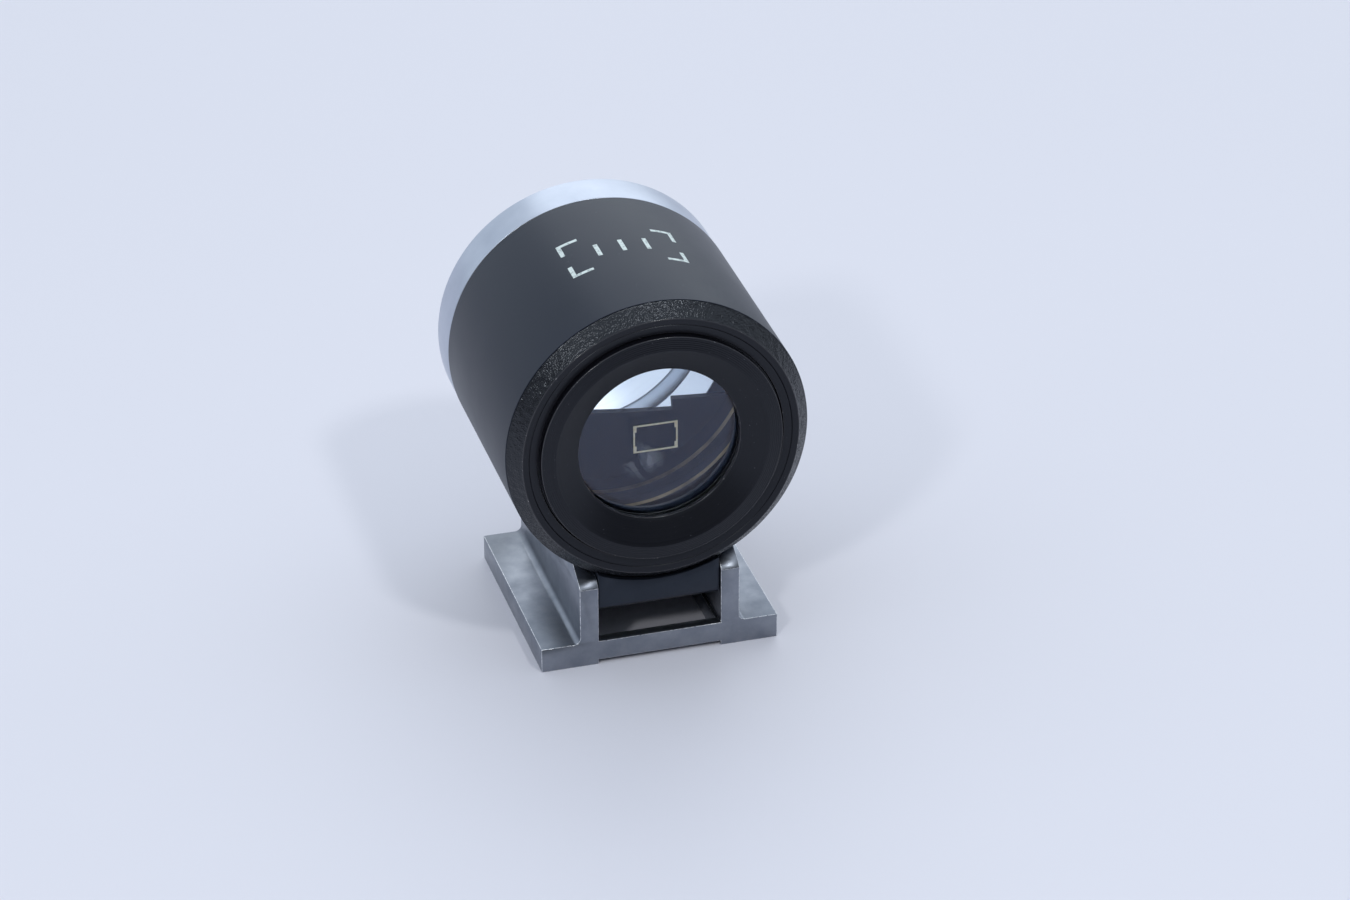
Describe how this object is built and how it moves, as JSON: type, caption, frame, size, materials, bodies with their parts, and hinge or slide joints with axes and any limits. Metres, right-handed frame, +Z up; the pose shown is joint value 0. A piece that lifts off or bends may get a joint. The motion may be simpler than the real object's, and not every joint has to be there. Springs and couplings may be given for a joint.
{
  "type": "accessory-shoe viewfinder",
  "caption": "Round optical viewfinder on a flanged shoe foot: black barrel, silver front ring, dished eyepiece with bright frame, barrel tilting on a hinge pin.",
  "frame": {"origin": "under the middle of the barrel, on the plane of the shoe foot's underside", "axes": "+Z up from the foot to the barrel, +Y along the optical axis from the eyepiece to the objective, +X to the right seen from the eyepiece"},
  "size_m": [0.0234, 0.0228, 0.03],
  "materials": {
    "satin_silver": "satin chrome plate with bright worn edges",
    "steel": "turned steel",
    "spring_bronze": "rolled spring bronze",
    "black_enamel": "satin black enamel over brass, fine texture",
    "black_anodised": "black anodised, crystalline edge, turned face",
    "matte_black": "matte anti-reflection black",
    "frame_gold": "pale gold vacuum deposit",
    "glass": "coated optical glass"
  },
  "bodies": {
    "shoe_foot": {"foot": "satin_silver", "pivot_pin": "steel", "return_spring": "spring_bronze", "spring_screw_left": "steel", "spring_screw_right": "steel"},
    "finder": {"saddle": "black_anodised", "saddle_screw_near": "steel", "saddle_screw_far": "steel", "contact_pad": "steel", "stop_screw": "steel", "barrel_tube": "black_enamel", "eyepiece_ring": "black_anodised", "eye_ring": "black_anodised", "eye_lens": "glass", "lens_spacer": "matte_black", "reticle_glass": "glass", "bright_frame": "frame_gold", "reticle_retainer": "matte_black", "baffle_tube": "matte_black", "field_mask": "matte_black", "front_ring": "satin_silver", "objective_lens": "glass", "objective_retainer": "satin_silver"}
  },
  "joints": [
    {"name": "parallax_tilt", "type": "hinge", "parent": "shoe_foot", "child": "finder", "pos_m": [0, 0.0046, 0.005], "axis": [-1, 0, 0], "range_deg": [0, 4], "stiffness_Nm_per_rad": 0.02, "springref_deg": -28.65}
  ]
}
